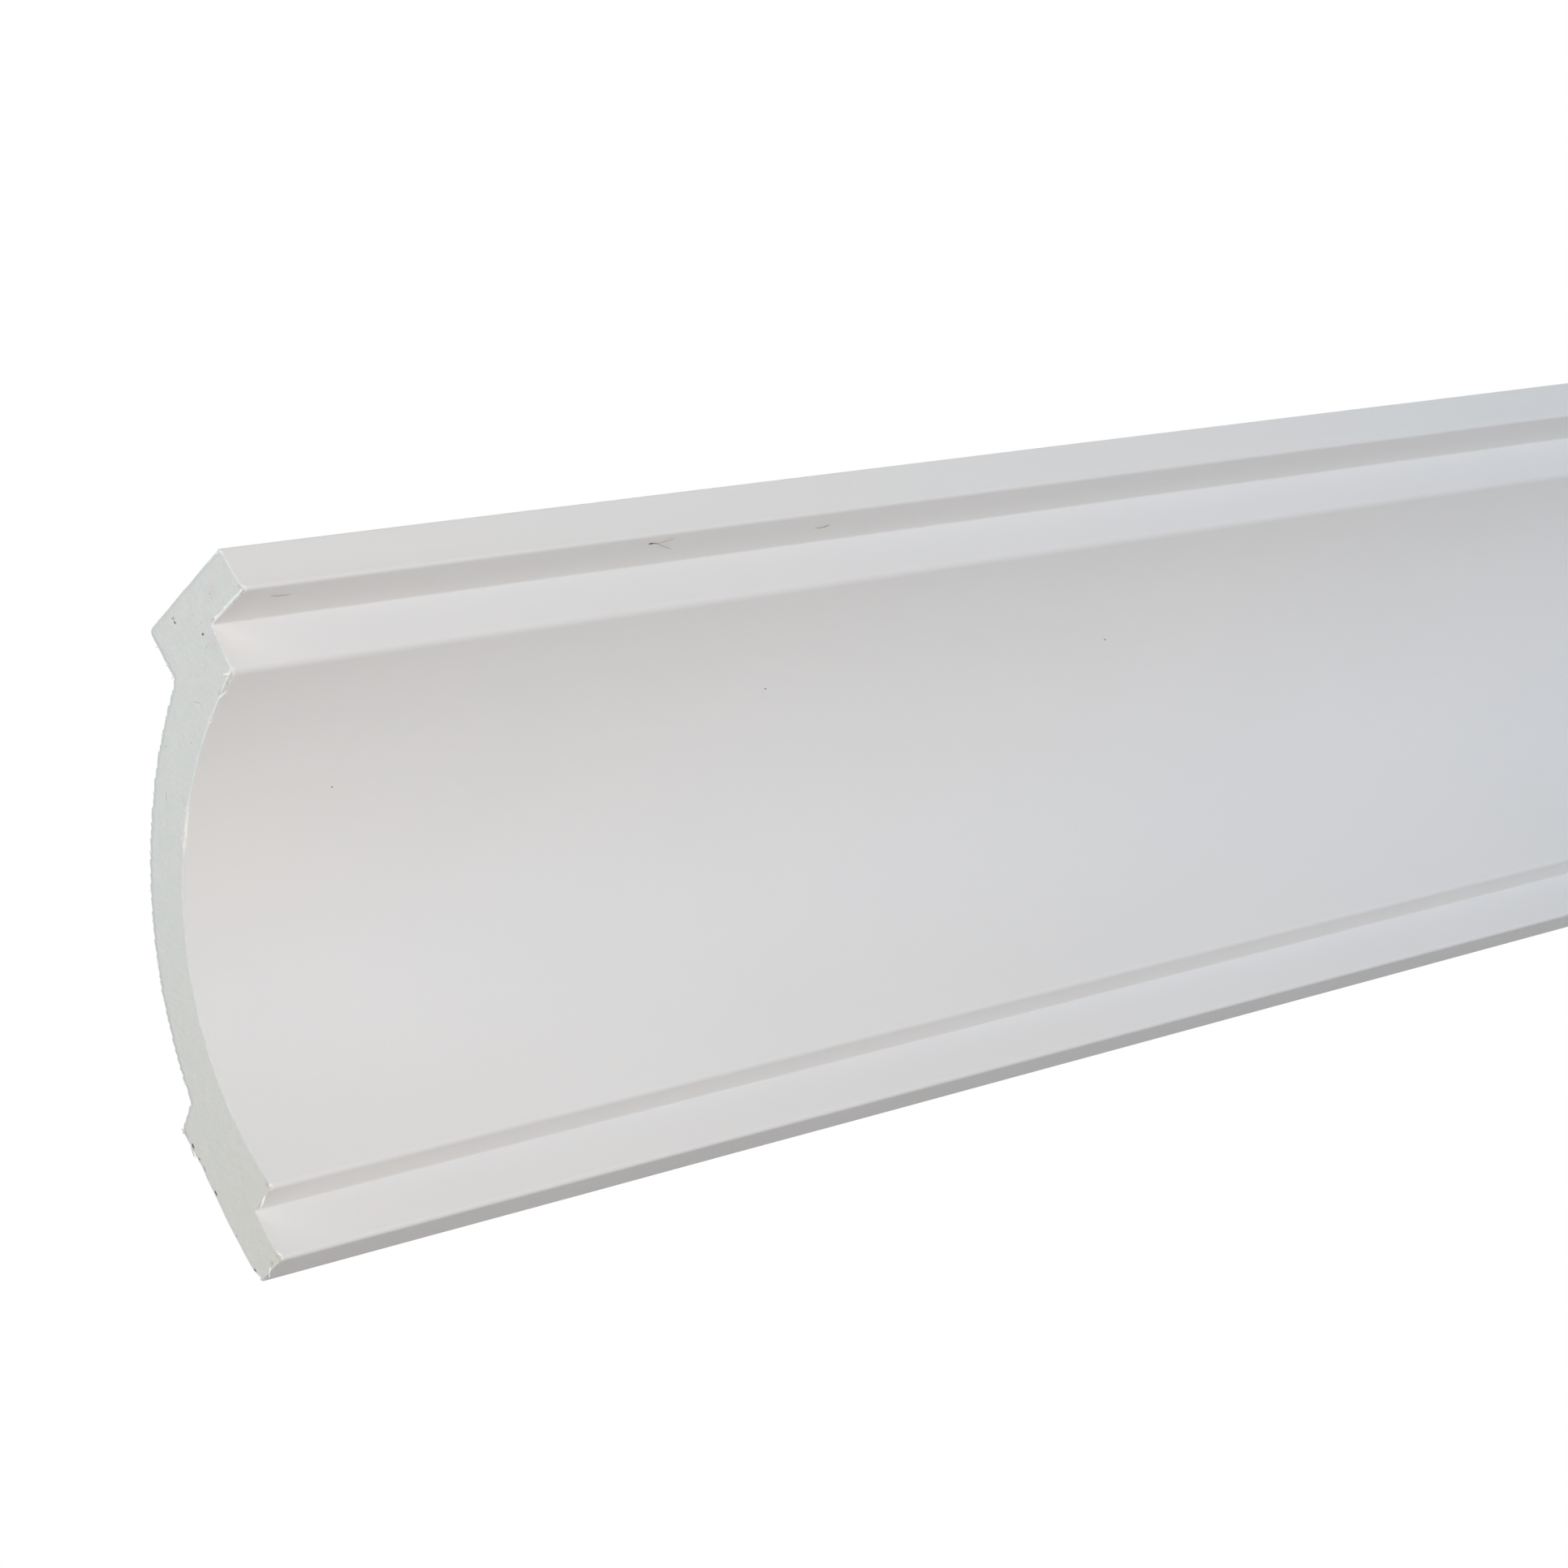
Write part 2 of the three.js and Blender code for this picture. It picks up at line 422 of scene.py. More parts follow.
def drawn_out(along, wave):
    """Unevenness in mm of the ring at one station. A wave has its height, the length and
    width of its lumps, and its seed."""
    height, length, width, seed = wave
    points = np.stack([ring.arc * 0 + along / length, ring.arc / width, ring.arc * 0], -1)
    return height * rough(points, 1, seed)


def side_points(along, wear, wear_reach, reach):
    """The ring at one station, in mm out and down, uneven, worn, torn and dented."""
    on_foam = sum(drawn_out(along, wave) for wave in FOAM_WAVES)
    on_foam = on_foam * np.where(ring.land, LAND_EVENNESS, 1)
    offset = np.where(ring.skin, drawn_out(along, SKIN_WAVE), on_foam)
    offset = offset + wear * np.exp(-along / wear_reach)
    offset = offset - FAR_BACK_WORN * np.exp(-(LENGTH - along) / BURR_REACH) * ~ring.skin
    torn = smooth_step(reach - along, TEAR_FROM, TEAR_FULL) * (reach > 0)
    offset = offset - TEAR_DEPTH * torn
    dent_along, out, down, half, depth = DENT
    away = ((along - dent_along) / half) ** 2
    away = away + (np.hypot(*(ring.points - (out, down)).T) / (half * DENT_HEIGHT)) ** 2
    offset = offset - depth * np.exp(-away) * ring.skin
    return ring.points + ring.normal * offset[:, None]


def cap_grid(edge, grain):
    """Points inside an end's outline, in staggered rows, off its edge."""
    rows = np.arange(edge[:, 1].min(), edge[:, 1].max(), grain * ROW_GAP)
    columns = np.arange(edge[:, 0].min(), edge[:, 0].max(), grain)
    across, down = np.meshgrid(columns, rows)
    across = across + (np.arange(len(rows)) % 2)[:, None] * grain / 2
    points = np.stack([across.ravel(), down.ravel()], -1)
    points = points + rng.uniform(-STREWN, STREWN, points.shape) * grain
    points = points[inside(points, edge)]
    return points[distance_to_path(points, edge, True) > grain * OFF_EDGE]


def scar_points(edge):
    """Close points in and round the pores and along the cracks of the sawn end."""
    points = []
    for out, down, length, width, turn, _ in PORES:
        turn = math.radians(turn)
        points.append((out, down))
        for share, count in PORE_RINGS:
            for k in range(count):
                angle = 2 * math.pi * k / count + share
                a, b = length * share * math.cos(angle), width * share * math.sin(angle)
                points.append((out + a * math.cos(turn) - b * math.sin(turn),
                               down + a * math.sin(turn) + b * math.cos(turn)))
    for half, _, path in CRACKS:
        line = np.array(path)
        for a, b in zip(line[:-1], line[1:]):
            side = b - a
            length = math.hypot(*side)
            across = np.array([-side[1], side[0]]) / length
            for share in np.arange(0, 1, CRACK_STEP / length):
                for row in CRACK_ROWS:
                    points.append(tuple(a + side * share + across * row * half))
    points = np.array(points)
    points = points[inside(points, edge)]
    return points[distance_to_path(points, edge, True) > SCAR_OFF_EDGE]


def near_end_points(edge):
    """Points inside the near end's outline: rows along the skin, then scars, then a grid."""
    rows = [edge - ring.normal * (SKIN_THICKNESS * share) for share in SKIN_ROWS]
    rows = np.concatenate([row[ring.skin] for row in rows])
    scars = scar_points(edge)
    grid = cap_grid(edge, NEAR_END_GRAIN)
    clear = distance_to_path(grid, edge[ring.skin]) > SKIN_THICKNESS * OFF_SKIN
    for point in scars:
        clear &= np.hypot(*(grid - point).T) > SCAR_CLEAR
    return np.concatenate([rows, scars, grid[clear]])


def line_strength(down):
    return np.interp(down, LINE_DOWNS, LINE_STRENGTHS)


def near_relief(points, edge):
    """How far the sawn face stands proud at points of it, in mm, and how dark, brown and
    white it is there. The dark is painted shade in pores and cracks and along the back edge,
    and dark marks along the wall land's edge."""
    from_skin = distance_to_path(points, edge[ring.skin])
    from_back = distance_to_path(points, edge[ring.behind])
    from_wall = distance_to_path(points, edge[ring.wall])
    proud = sum(uneven(points, wave) for wave in NEAR_END_WAVES)
    proud = proud - ROUNDED_OFF * (1 - smooth_step(from_back, 0, BURR_WIDTH))
    # Painted shade: a faint dark band just inside the back edge
    shade_and_dark_marks = BACK_EDGE_SHADE * np.exp(-((from_back - BACK_EDGE_SHADE_MIDDLE) / BACK_EDGE_SHADE_SPREAD) ** 2)
    # Darker along the upper part of the wall land's edge
    wall_dark = WALL_EDGE_DARK * np.exp(-(from_wall / WALL_EDGE_DARK_SPREAD) ** 2)
    wall_dark = wall_dark * (1 + uneven(points, WALL_EDGE_DARK_WAVE))
    shade_and_dark_marks = shade_and_dark_marks + wall_dark * (points[:, 1] < WALL_DARK_TO)
    past_skin = smooth_step(from_skin, SKIN_THICKNESS / 2, SKIN_THICKNESS)
    pale = line_strength(points[:, 1]) * (1 - past_skin)
    # Each pore is a pit, darkened with painted shade
    for out, down, length, width, turn, darkness in PORES:
        turn = math.radians(turn)
        a = (points[:, 0] - out) * math.cos(turn) + (points[:, 1] - down) * math.sin(turn)
        b = (points[:, 1] - down) * math.cos(turn) - (points[:, 0] - out) * math.sin(turn)
        pit = 1 - smooth_step(np.hypot(a / length, b / width), *PORE_EDGE)
        proud = proud - pit * width * PORE_DEPTH * darkness
        shade_and_dark_marks = np.maximum(shade_and_dark_marks, pit * darkness)
    # Cracks and notches are grooves; a crack's darkness is painted shade in it, and the notches
    # are dark
    for half, darkness, path in CRACKS:
        start, end = (half * share for share in CRACK_EDGE)
        split = 1 - smooth_step(distance_to_path(points, np.array(path)), start, end)
        proud = proud - CRACK_DEPTH * half * split
        shade_and_dark_marks = np.maximum(shade_and_dark_marks, darkness * split)
    brown = np.zeros(len(points))
    ragged = 1 + uneven(points, STAIN_WAVE)
    for out, down, radius, strength in STAINS:
        away = np.hypot(*(points - (out, down)).T) / radius
        brown = np.maximum(brown, strength * np.exp(-away ** 2) * ragged)
    ragged = 1 + uneven(points, RIP_WAVE)
    for half, strength, path in WHITE_RIPS:
        past = distance_to_path(points, np.array(path)) - half * ragged
        rip = 1 - smooth_step(past, -RIP_EDGE, RIP_EDGE)
        pale = np.maximum(pale, strength * rip)
        proud = proud + rip * uneven(points, RIP_RELIEF)
    return proud, {"shade_and_dark_marks": shade_and_dark_marks, "brown": brown, "pale": pale}


def cap_faces(edge, inner, first_edge, first_inner):
    """Triangles that fill an end's outline, as places in the mesh. The edge's points start
    at one place there and the inner ones at another."""
    count = len(edge)
    borders = [(k, (k + 1) % count) for k in range(count)]
    points = [Vector(p) for p in np.concatenate([edge, inner])]
    out_points, _, faces, origins, _, _ = delaunay_2d_cdt(
        points, borders, [], INNER_TRIANGLES, TOO_CLOSE)
    if len(out_points) != len(points):
        raise ValueError("the end's outline crosses itself")
    place = [first_edge + k if k < count else first_inner + k - count
             for k in (origin[0] for origin in origins)]
    return [[place[k] for k in face] for face in faces]


# The moulding's materials, by their places on its mesh
WHITE, RAW, SAWN = 0, 1, 2


def moulding_mesh():
    """The whole moulding as one closed mesh: its long faces, its two sawn ends, the kind of
    each face, the stains, painted shade and painted highlight of each point and which points
    are on a cut."""
    wear, wear_reach = cut_wear()
    reach = tear_reach()
    places = stations()
    rings = [side_points(s, wear, wear_reach, reach) for s in places]
    vertices, torn_white = [], []
    for s, points in zip(places, rings):
        set_in = ROUNDED_OFF * ring.behind * math.exp(-s / BURR_REACH)
        vertices.append(to_frame(s + set_in, *points.T))
        torn_white.append((reach > s) * (TORN_WHITE + uneven(points, TORN_WHITE_WAVE)))
    torn_white[0] = np.where(ring.skin, line_strength(ring.points[:, 1]), 0)
    faces, kinds = [], []
    for j in range(len(places) - 1):
        torn = reach > (places[j] + places[j + 1]) / 2
        for i in range(ring.count):
            k = (i + 1) % ring.count
            here, ahead = j * ring.count, (j + 1) * ring.count
            faces.append((here + i, here + k, ahead + k, ahead + i))
            kinds.append((SAWN if torn[i] else WHITE) if ring.skin[i] else RAW)

    in_rings = len(places) * ring.count
    last_ring = in_rings - ring.count
    near = near_end_points(rings[0])
    proud, marks = near_relief(near, rings[0])
    vertices.append(to_frame(-proud, *near.T))
    caps = [face[::-1] for face in cap_faces(rings[0], near, 0, in_rings)]
    far = cap_grid(rings[-1], FAR_END_GRAIN)
    sunk = sum(uneven(far, wave) for wave in FAR_END_WAVES)
    vertices.append(to_frame(LENGTH + sunk, *far.T))
    caps += cap_faces(rings[-1], far, last_ring, in_rings + len(near))
    faces += caps
    kinds += [SAWN] * len(caps)

    vertices = np.concatenate(vertices)
    stains_shade_and_highlight = {}
    for name, values in marks.items():
        stains_shade_and_highlight[name] = np.zeros(len(vertices))
        stains_shade_and_highlight[name][in_rings:in_rings + len(near)] = values
    stains_shade_and_highlight["pale"][:in_rings] = np.concatenate(torn_white)
    on_cut = np.zeros(len(vertices), bool)
    on_cut[:ring.count] = True
    on_cut[last_ring:in_rings] = True
    return vertices, faces, kinds, stains_shade_and_highlight, on_cut


class Nodes:
    """A short way to put a material's nodes together."""

    def __init__(self, name):
        self.material = bpy.data.materials.new(name)
        self.material.use_nodes = True
        self.tree = self.material.node_tree
        self.shader = self.tree.nodes["Principled BSDF"]
        self.place = self.add("ShaderNodeTexCoord").outputs["Object"]

    def add(self, kind, **values):
        node = self.tree.nodes.new(kind)
        for key, value in values.items():
            setattr(node, key, value)
        return node

    def link(self, source, target):
        self.tree.links.new(source, target)

    def stretched(self, along, across):
        """Coordinates in mm, divided along the moulding and across it."""
        mapping = self.add("ShaderNodeMapping")
        lumps_per_metre = [1 / MM / size for size in (along, across, across)]
        mapping.inputs["Scale"].default_value = lumps_per_metre
        self.link(self.place, mapping.inputs["Vector"])
        return mapping.outputs["Vector"]

    def noise(self, long, wide=None, detail=2.0, roughness=0.5):
        """Noise with lumps about so many mm long, and as wide unless that is given too."""
        node = self.add("ShaderNodeTexNoise")
        node.inputs["Scale"].default_value = 1
        node.inputs["Detail"].default_value = detail
        node.inputs["Roughness"].default_value = roughness
        self.link(self.stretched(long, wide or long), node.inputs["Vector"])
        return node.outputs["Fac"]

    def cells(self, size):
        """How far a place is from the middle of its foam cell. The cells are size mm wide."""
        node = self.add("ShaderNodeTexVoronoi")
        node.inputs["Scale"].default_value = 1
        self.link(self.stretched(size, size), node.inputs["Vector"])
        return node.outputs["Distance"]

    def stain_shade_or_highlight(self, name):
        return self.add("ShaderNodeAttribute", attribute_name=name).outputs["Fac"]

    def span(self, value, start, end, first=0, last=1):
        """A value that goes from first to last as the given one goes from start to end."""
        node = self.add("ShaderNodeMapRange")
        for name, number in (("From Min", start), ("From Max", end),
                             ("To Min", first), ("To Max", last)):
            node.inputs[name].default_value = number
        self.link(value, node.inputs["Value"])
        return node.outputs["Result"]

    def mix(self, share, first, second):
        node = self.add("ShaderNodeMix", data_type="RGBA")
        self.link(share, node.inputs["Factor"])
        for colour, socket in ((first, node.inputs["A"]), (second, node.inputs["B"])):
            if isinstance(colour, tuple):
                socket.default_value = (*colour, 1)
            else:
                self.link(colour, socket)
        return node.outputs["Result"]

    def bump(self, height, strength, depth, under=None):
        """A bump, depth mm deep at full strength, on top of the one under it."""
        node = self.add("ShaderNodeBump")
        node.inputs["Strength"].default_value = strength
        node.inputs["Distance"].default_value = depth * MM
        self.link(height, node.inputs["Height"])
        if under is not None:
            self.link(under, node.inputs["Normal"])
        return node.outputs["Normal"]

    def set(self, **values):
        for name, value in values.items():
            socket = self.shader.inputs[name.replace("_", " ")]
            if isinstance(value, bpy.types.NodeSocket):
                self.link(value, socket)
            else:
                socket.default_value = value


# Colours of the materials, as linear red, green and blue
SKIN_TONES = ((0.798, 0.802, 0.805), (0.804, 0.808, 0.811))
SKIN_STREAK = (0.785, 0.785, 0.78)
SAWN_TONES = ((0.632, 0.649, 0.643), (0.690, 0.700, 0.697))
SAWN_GREEN = (0.620, 0.675, 0.648)
# Painted shade: the sawn foam's colour at its foot, darker and more olive
SAWN_SHADED_FOOT = (0.626, 0.624, 0.594)
SAWN_PINK = (0.672, 0.648, 0.640)
TORN_BROWN = (0.30, 0.25, 0.14)
# Black for painted shade in pores and cracks and along the back edge, and for the dark marks
# along the wall land's edge
SHADE_AND_MARK_BLACK = (0.02, 0.02, 0.018)
# White skin left on the cut: the skin's own white, made brighter and bluer as a painted
# highlight
LEFT_WHITE_AND_HIGHLIGHT = (0.86, 0.89, 0.95)
RAW_TONES = ((0.62, 0.635, 0.61), (0.70, 0.71, 0.69))
RAW_PATCH = (0.60, 0.59, 0.53)
RAW_CELL = (0.44, 0.45, 0.41)
# Torn skin: the skin's own white, made brighter as a painted highlight
TORN_SKIN_AND_HIGHLIGHT_TONES = ((0.84, 0.84, 0.83), (0.92, 0.92, 0.93))
DIRT_SHADE = 0.6
# Heights, in mm above the origin, between which the sawn foam turns to its lower colour, a
# painted shade towards its foot
SAWN_TOP, SAWN_FOOT = 70, -16


def white_skin_material():
    """The moulded white skin: satin, very faintly clouded, with an even fine orange peel."""
    nodes = Nodes("white_skin")
    cloud = nodes.noise(long=45, wide=30, detail=3)
    tone = nodes.mix(nodes.span(cloud, start=0.3, end=0.7), *SKIN_TONES)
    streak = nodes.noise(long=60, wide=1.6)
    streak = nodes.span(streak, start=0.4, end=0.75, last=0.1)
    tone = nodes.mix(streak, tone, SKIN_STREAK)
    peel = nodes.bump(nodes.noise(long=1.1, detail=3), strength=0.2, depth=0.02)
    drawn = nodes.bump(nodes.noise(long=90, wide=3), strength=0.3, depth=0.02, under=peel)
    gloss = nodes.span(cloud, start=0.3, end=0.7, first=0.44, last=0.48)
    nodes.set(Base_Color=tone, Roughness=gloss, Normal=drawn)
    return nodes.material


def sawn_foam_material():
    """The sawn end: dense grey-green foam, speckled by its fine cells, darker and more olive
    towards its foot as painted shade. It has painted shade in its pores and cracks and along
    the back edge and dark marks along the wall land's edge; it is brown where it tore and white
    where skin is left on it, that white brighter and bluer than the skin as a painted highlight."""
    nodes = Nodes("sawn_foam")
    speck = nodes.noise(long=0.42, detail=4, roughness=0.65)
    tone = nodes.mix(nodes.span(speck, start=0.32, end=0.68), *SAWN_TONES)
    green = nodes.span(nodes.noise(long=3.1, detail=3), start=0.45, end=0.65, last=0.45)
    tone = nodes.mix(green, tone, SAWN_GREEN)
    # Painted shade: the sawn foam turns darker and more olive towards its foot
    place = nodes.add("ShaderNodeSeparateXYZ")
    nodes.link(nodes.stretched(1, 1), place.inputs["Vector"])
    tone = nodes.mix(nodes.span(place.outputs["Z"], SAWN_TOP, SAWN_FOOT), tone, SAWN_SHADED_FOOT)
    pink = nodes.span(nodes.noise(long=2.2, detail=3), start=0.48, end=0.7, last=0.4)
    tone = nodes.mix(pink, tone, SAWN_PINK)
    # The sawn end's stains: brown where it tore; black as painted shade in pores, cracks and
    # along the back edge and as dark marks at the wall edge; white skin with a painted highlight
    for name, colour in (("brown", TORN_BROWN), ("shade_and_dark_marks", SHADE_AND_MARK_BLACK), ("pale", LEFT_WHITE_AND_HIGHLIGHT)):
        tone = nodes.mix(nodes.stain_shade_or_highlight(name), tone, colour)
    grain = nodes.bump(nodes.cells(size=0.28), strength=0.35, depth=0.05)
    torn = nodes.bump(speck, strength=0.4, depth=0.06, under=grain)
    nodes.set(Base_Color=tone, Roughness=0.88, Normal=torn)
    nodes.set(Specular_IOR_Level=0.25)
    return nodes.material


def raw_foam_material():
    """The unskinned back and the glued flats: closed foam drawn out along the moulding."""
    nodes = Nodes("raw_foam")
    drawn = nodes.noise(long=26, wide=0.9, detail=3)
    tone = nodes.mix(nodes.span(drawn, start=0.3, end=0.7), *RAW_TONES)
    patch = nodes.noise(long=38, wide=9, detail=4)
    patch = nodes.span(patch, start=0.5, end=0.8, last=0.4)
    tone = nodes.mix(patch, tone, RAW_PATCH)
    cell = nodes.span(nodes.cells(size=0.9), start=0.05, end=0.25, first=0.35, last=0)
    tone = nodes.mix(cell, tone, RAW_CELL)
    fine = nodes.bump(nodes.cells(size=0.5), strength=0.4, depth=0.1)
    lines = nodes.bump(drawn, strength=0.5, depth=0.2, under=fine)
    nodes.set(Base_Color=tone, Roughness=0.8, Normal=lines)
    nodes.set(Specular_IOR_Level=0.3)
    return nodes.material


def torn_skin_material():
    """Torn edges of the skin, stretched thin, whiter than the skin: its own white with a painted
    highlight.
    """
    nodes = Nodes("torn_skin")
    tone = nodes.mix(nodes.noise(long=0.5), *TORN_SKIN_AND_HIGHLIGHT_TONES)
    crumpled = nodes.bump(nodes.noise(long=0.3), strength=0.5, depth=0.05)
    nodes.set(Base_Color=tone, Roughness=0.6, Normal=crumpled)
    return nodes.material


def dirt_material(name, colour):
    """Hairs and specks of dirt stuck to the skin."""
    nodes = Nodes(name)
    darker = tuple(DIRT_SHADE * part for part in colour)
    tone = nodes.mix(nodes.noise(long=0.7), darker, colour)
    nodes.set(Base_Color=tone, Roughness=0.6)
    return nodes.material


def mesh_piece(name, vertices, faces, materials):
    """A mesh object on the body, with smooth faces."""
    mesh = bpy.data.meshes.new(name)
    mesh.from_pydata([tuple(v) for v in vertices], [], faces)
    mesh.validate()
    for material in materials:
        mesh.materials.append(material)
    mesh.shade_smooth()
    piece = bpy.data.objects.new(name, mesh)
    bpy.context.scene.collection.objects.link(piece)
    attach(piece, BODY)
    return piece


def moulding_piece(skin, raw, sawn):
    """The moulding itself, sharp where the saw went through."""
    vertices, faces, kinds, stains_shade_and_highlight, on_cut = moulding_mesh()
    piece = mesh_piece("moulding", vertices, faces, (skin, raw, sawn))
    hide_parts(NODE)
    mesh = piece.data
    mesh.polygons.foreach_set("material_index", kinds)
    for name, values in stains_shade_and_highlight.items():
        shares = np.clip(values, 0, 1).astype(np.float32)
        mesh.attributes.new(name, "FLOAT", "POINT").data.foreach_set("value", shares)
    for edge in mesh.edges:
        a, b = edge.vertices
        if on_cut[a] and on_cut[b]:
            edge.use_edge_sharp = True
    return piece


# Blades: the least width, in mm, and the share of its thickness that a thin end keeps
THINNEST = 0.02
THIN_END = 0.3


class Shards:
    """Small closed blades and strips, gathered into one mesh."""

    def __init__(self):
        self.vertices = []
        self.faces = []
        self.kinds = []

    def blade(self, path, widths, thickness, side, kind=0):
        """A tapering strip along a path of points in mm (along, out, down). Its width runs
        along side and its thickness across that. Its kind picks its material."""
        start = len(self.vertices)
        path = [Vector(p) for p in path]
        side = Vector(side).normalized()
        for k, (point, width) in enumerate(zip(path, widths)):
            before, after = path[max(k - 1, 0)], path[min(k + 1, len(path) - 1)]
            across = (after - before).cross(side).normalized()
            half = max(width, THINNEST) / 2
            thick = thickness / 2 * min(1, THIN_END + width / max(widths))
            for a, b in ((half, 0), (0, thick), (-half, 0), (0, -thick)):
                self.vertices.append(point + side * a + across * b)
        for k in range(len(path) - 1):
            for q in range(4):
                a, b = start + 4 * k + q, start + 4 * k + (q + 1) % 4
                self.faces.append((a, b, b + 4, a + 4))
        self.faces.append(tuple(start + q for q in (3, 2, 1, 0)))
        self.faces.append(tuple(start + 4 * (len(path) - 1) + q for q in range(4)))
        self.kinds += [kind] * (len(self.faces) - len(self.kinds))

    def piece(self, name, materials, slot=None):
        """The shards as one piece with flat faces."""
        points = np.array([tuple(v) for v in self.vertices])
        piece = mesh_piece(name, to_frame(*points.T), self.faces, materials)
        piece.data.polygons.foreach_set("material_index", self.kinds)
        piece.data.shade_flat()
        return piece


# Hairs, a small dead fly and specks of dirt, by kind. Those under the front step have
# their width and their places, as mm along from the near end and out.
DARK, BROWN, GREY, OLIVE = 0, 1, 2, 3
DIRTS = {
    "dark_dirt": (0.09, 0.08, 0.07),
    "brown_dirt": (0.48, 0.27, 0.19),
    "grey_hair": (0.46, 0.43, 0.39),
    "olive_dirt": (0.50, 0.50, 0.32),
}
STEP_DIRT = (
    (GREY, 0.1, ((8.7, 81.5), (10.7, 81.1), (12.4, 81.0), (13.9, 81.1))),
    (DARK, 0.3, ((109.7, 82.0), (110.3, 82.05), (111.0, 82.0))),
    (BROWN, 0.2, ((110.9, 82.0), (111.6, 81.9), (112.4, 81.7))),
    (GREY, 0.1, ((112.3, 81.7), (114.0, 80.9), (115.5, 80.2), (117.2, 79.4), (118.8, 78.8))),
    (GREY, 0.08, ((112.3, 81.75), (113.8, 82.05), (115.4, 82.5), (116.6, 82.8))),
    (GREY, 0.12, ((162.1, 79.3), (162.8, 79.2), (163.5, 79.2))),
    (OLIVE, 0.26, ((163.3, 79.2), (163.9, 79.15), (164.5, 79.2))),
    (DARK, 0.13, ((164.4, 79.2), (165.2, 79.4), (166.0, 79.9))),
)
TAPERS = (0.5, 0.4)  # how wide such a hair's two ends are, as shares of its width
# The underside of the front step, in mm: how far down and out its inner corner lies, how
# much it falls as it goes out, and how far below it the dirt's middle lies
STEP_DOWN = 9.5
STEP_INNER = 73.2
STEP_SLOPE = 0.4 / 11.5
DIRT_BELOW_STEP = 0.06
# Specks on the cove: mm along, out and down, and size
SPECKS = (
    (159.0, 48.1, 28.8, 0.3),
    (274.9, 46.4, 30.0, 0.28),
    (36.5, 43.7, 31.8, 0.25),
)
SPECK_PROUD = 0.05  # how far out its middle stands
# How wide a speck's ends are and how thick it is, as shares of its size
SPECK_TIP = 0.4
SPECK_THICKNESS = 0.8

# Torn bits of the white skin at the cut: a path of along, out and down, and its widths
SKIN_TONGUES = (
    (((0.0, 65.2, 20.7), (-0.1, 66.3, 20.9), (-0.15, 67.4, 21.0), (-0.1, 68.4, 21.15)),
     (0.35, 0.4, 0.3, 0.1)),
    (((0.0, 71.2, 19.0), (-0.25, 70.4, 18.9), (-0.3, 69.6, 18.5)), (0.35, 0.3, 0.1)),
    (((0.0, 60.0, 22.6), (-0.1, 60.8, 22.9), (-0.1, 61.5, 23.2)), (0.3, 0.25, 0.08)),
    (((0.0, 43.2, 31.2), (-0.1, 44.1, 31.0), (-0.1, 44.9, 30.9)), (0.3, 0.3, 0.08)),
    (((0.0, 38.6, 34.6), (-0.1, 39.6, 34.4), (-0.2, 40.2, 34.2)), (0.25, 0.35, 0.1)),
    (((-0.05, 12.6, 98.2), (-0.15, 11.3, 98.8), (-0.15, 10.1, 99.3)), (0.4, 0.55, 0.15)),
    (((0.0, 4.6, 109.2), (-0.1, 3.9, 109.8), (-0.1, 3.2, 110.5)), (0.4, 0.35, 0.25)),
)
TONGUE_THICKNESS = 0.06
TONGUE_SIDE = (0, 0.35, 1)
# Bits of foam that hang off the cut edge of the flat on the wall
FOAM_FLAKES = (
    (((0.0, 2.1, 76.9), (-0.05, 1.5, 77.8), (0.0, 1.1, 78.6)), (0.7, 0.5, 0.1)),
    (((0.0, 1.4, 79.4), (-0.1, 0.9, 80.4), (-0.1, 0.45, 81.8), (0.0, 0.3, 82.3)),
     (0.3, 0.5, 0.4, 0.1)),
)
FLAKE_THICKNESS = 0.06
FLAKE_SIDE = (0, 1, 0.3)

# Crumbs of foam along the back edge, in mm: how far the first is from the wall land and the
# last from the ceiling land, how far apart they are, and the ranges of their shift, reach,
# slant, lean and width
CRUMB_CLEAR = 3.0
BACK_CLEAR = 14.0
CRUMB_GAP = 11.0
CRUMB_SHIFT = (-3, 3)
CRUMB_REACH = (0.15, 0.3)
CRUMB_SLANT = (-0.4, 0.2)
CRUMB_LEAN = (0.0, 0.1)
CRUMB_WIDTH = (0.3, 0.5)
CRUMB_TIP = 0.12  # how wide its tip is
CRUMB_THICKNESS = 0.08
CRUMB_ROOT = 0.3  # how deep it sits in the back
CRUMB_SET_IN = 0.15  # how far in from the cut it starts
CRUMB_BELLY = -0.03  # how far along its middle is
CRUMB_MIDDLE = 0.4  # where its middle is, as a share of its reach
CRUMB_TAPER = 0.7  # how wide it is there, as a share of its width
# Shreds on the back face: mm down from the ceiling, reach and slant
BACK_FACE_SHREDS = ((4.0, 0.35, 0.1), (8.3, 0.25, 0.2), (10.8, 0.6, -0.35))


def step_point(along, out):
    """A place just below the underside of the front step."""
    return along, out, STEP_DOWN + STEP_SLOPE * (out - STEP_INNER) + DIRT_BELOW_STEP


def dirt_piece(materials):
    """Hairs, a small dead fly and specks on the long faces."""
    shards = Shards()
    down = (0, 0, 1)
    for kind, width, places in STEP_DIRT:
        path = [step_point(along, out) for along, out in places]
        first, last = TAPERS
        widths = [width * first] + [width] * (len(path) - 2) + [width * last]
        shards.blade(path, widths, width, down, kind)
    for along, out, deep, size in SPECKS:
        middle = (along, out + SPECK_PROUD, deep)
        path = [(along - size, out, deep), middle, (along + size, out, deep)]
        widths = (size * SPECK_TIP, size, size * SPECK_TIP)
        shards.blade(path, widths, size * SPECK_THICKNESS, down)
    return shards.piece("dust_and_hairs", materials)


